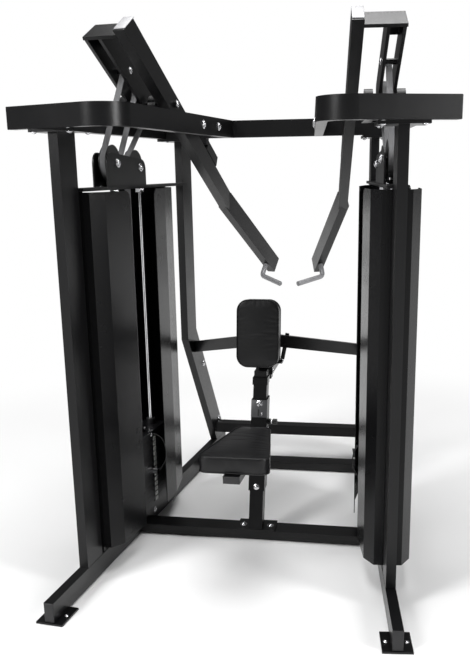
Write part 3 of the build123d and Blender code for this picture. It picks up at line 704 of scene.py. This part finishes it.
def cushion(name, node, body, place, width, length, thick, radius, taper=0.0):
    # Boxed cushion: a stretched top panel, boxing round the side and piping on both seams.
    mesh, seams, held = cushion_shell(name, width, length, thick, radius, taper)
    obj = bpy.data.objects.new(name, mesh)
    scene.collection.objects.link(obj)
    inflate(obj, held)
    mesh = obj.data
    mesh.materials.clear()
    mesh.materials.append(FINISH["vinyl"])
    lines = [[mesh.vertices[i].co.copy() for i in seam] for seam in seams]
    mesh.transform(place)
    for face in mesh.polygons:
        face.use_smooth = True
    smooth = obj.modifiers.new("fine", "SUBSURF")
    smooth.levels = smooth.render_levels = 1
    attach(obj, body)
    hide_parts(node)
    for index, seam in enumerate(lines):
        piping = closed_tube(f"{name}_piping_{index}", [place @ p for p in seam], 0.0026, FINISH["vinyl"])
        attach(piping, body)


# The seat leans a little forward; its middle is half its length behind its front edge.
seat_front = 0.322
seat_middle = seat_front + 0.2525
seat_under = 0.508 + 0.0053 - SEAT_SLOPE * (seat_middle - 0.302)
seat_up = Vector((0, SEAT_SLOPE, 1)).normalized()
seat_place = frame_of((0, FRONT_Y + seat_middle, seat_under), seat_up, ACROSS)
cushion("seat_cushion", "seat_pad", "seat", seat_place, 0.290, 0.499, 0.061, 0.045, 0.50)
pad_face = Vector((0, -0.9914, 0.1305))
pad_rear = Vector((0, FRONT_Y + 0.940, 0.940)) - pad_face * 0.075
pad_place = frame_of(pad_rear, pad_face, ACROSS)
cushion("chest_cushion", "chest_pad", "chest_rest", pad_place, 0.186, 0.300, 0.068, 0.050)


# ---------------------------------------------------------------- stage, light and camera
def area(name, at, target, size, size_y, power):
    light = bpy.data.lights.new(name, "AREA")
    light.shape = "RECTANGLE"
    light.size = size
    light.size_y = size_y
    light.energy = power
    obj = bpy.data.objects.new(name, light)
    scene.collection.objects.link(obj)
    obj.location = at
    obj.rotation_euler = (Vector(target) - Vector(at)).to_track_quat("-Z", "Y").to_euler()


def floor_material():
    # The floor fades to plain white away from the machine.
    fade_from, fade_to = 1.0, 3.2
    mat = material("floor", (0.9, 0.9, 0.9), 0.9)
    tree = mat.node_tree
    place = tree.nodes.new("ShaderNodeNewGeometry")
    away = tree.nodes.new("ShaderNodeVectorMath")
    away.operation = "LENGTH"
    fade = tree.nodes.new("ShaderNodeMapRange")
    fade.interpolation_type = "SMOOTHSTEP"
    fade.inputs["From Min"].default_value = fade_from
    fade.inputs["From Max"].default_value = fade_to
    glow = tree.nodes.new("ShaderNodeEmission")
    glow.inputs["Color"].default_value = (1, 1, 1, 1)
    glow.inputs["Strength"].default_value = 1.0
    mix = tree.nodes.new("ShaderNodeMixShader")
    tree.links.new(place.outputs["Position"], away.inputs[0])
    tree.links.new(away.outputs["Value"], fade.inputs["Value"])
    tree.links.new(fade.outputs["Result"], mix.inputs["Fac"])
    tree.links.new(tree.nodes["Principled BSDF"].outputs["BSDF"], mix.inputs[1])
    tree.links.new(glow.outputs["Emission"], mix.inputs[2])
    tree.links.new(mix.outputs["Shader"], tree.nodes["Material Output"].inputs["Surface"])
    return mat


def studio_world():
    # Plain white seen directly, a dimmer room in the reflections
    world = bpy.data.worlds.new("studio")
    world.use_nodes = True
    sky = world.node_tree
    room = sky.nodes["Background"]
    room.inputs["Color"].default_value = (1, 1, 1, 1)
    room.inputs["Strength"].default_value = 0.12
    plain = sky.nodes.new("ShaderNodeBackground")
    plain.inputs["Color"].default_value = (1, 1, 1, 1)
    plain.inputs["Strength"].default_value = 1.0
    ray = sky.nodes.new("ShaderNodeLightPath")
    choose = sky.nodes.new("ShaderNodeMixShader")
    sky.links.new(ray.outputs["Is Camera Ray"], choose.inputs["Fac"])
    sky.links.new(room.outputs["Background"], choose.inputs[1])
    sky.links.new(plain.outputs["Background"], choose.inputs[2])
    sky.links.new(choose.outputs["Shader"], sky.nodes["World Output"].inputs["Surface"])
    return world


floor_mesh = bpy.data.meshes.new("floor")
reach = 30.0
corners = [(-reach, -reach, 0), (reach, -reach, 0), (reach, reach, 0), (-reach, reach, 0)]
floor_mesh.from_pydata(corners, [], [(0, 1, 2, 3)])
floor = bpy.data.objects.new("floor", floor_mesh)
scene.collection.objects.link(floor)
floor_mesh.materials.append(floor_material())

scene.world = studio_world()
area("key_left", (-3.6, -4.6, 4.4), (0, 0, 1.0), 1.6, 3.2, 330)
area("fill_right", (4.8, -2.6, 2.8), (0, 0, 1.0), 1.2, 3.0, 190)
area("top_soft", (0, 0.3, 5.2), (0, 0, 0), 3.0, 4.0, 230)

# Camera at a standing eye height, turned and tilted as the fit found it
CAMERA_AT = (0.6022, FRONT_Y + 0.03974 - 2.60166, 1.650)
camera_data = bpy.data.cameras.new("camera")
camera = bpy.data.objects.new("camera", camera_data)
scene.collection.objects.link(camera)
yaw, pitch, roll = math.radians(-9.74), math.radians(14.25), math.radians(-0.81)
ahead = Vector((math.sin(yaw) * math.cos(pitch), math.cos(yaw) * math.cos(pitch), -math.sin(pitch)))
level_right = Vector((math.cos(yaw), -math.sin(yaw), 0))
level_up = level_right.cross(ahead)
right = level_right * math.cos(roll) + level_up * math.sin(roll)
above = level_up * math.cos(roll) - level_right * math.sin(roll)
basis = Matrix((right, above, -ahead)).transposed().to_4x4()
camera.matrix_world = Matrix.Translation(CAMERA_AT) @ basis
camera_data.sensor_fit = "AUTO"
camera_data.sensor_width = 36.0
camera_data.lens = 44.3281
camera_data.shift_x = -0.034977
camera_data.shift_y = 0.07
camera_data.clip_end = 100.0
scene.camera = camera
scene.render.resolution_x = 940
scene.render.resolution_y = 1318
scene.view_settings.view_transform = "Standard"
scene.render.engine = "CYCLES"
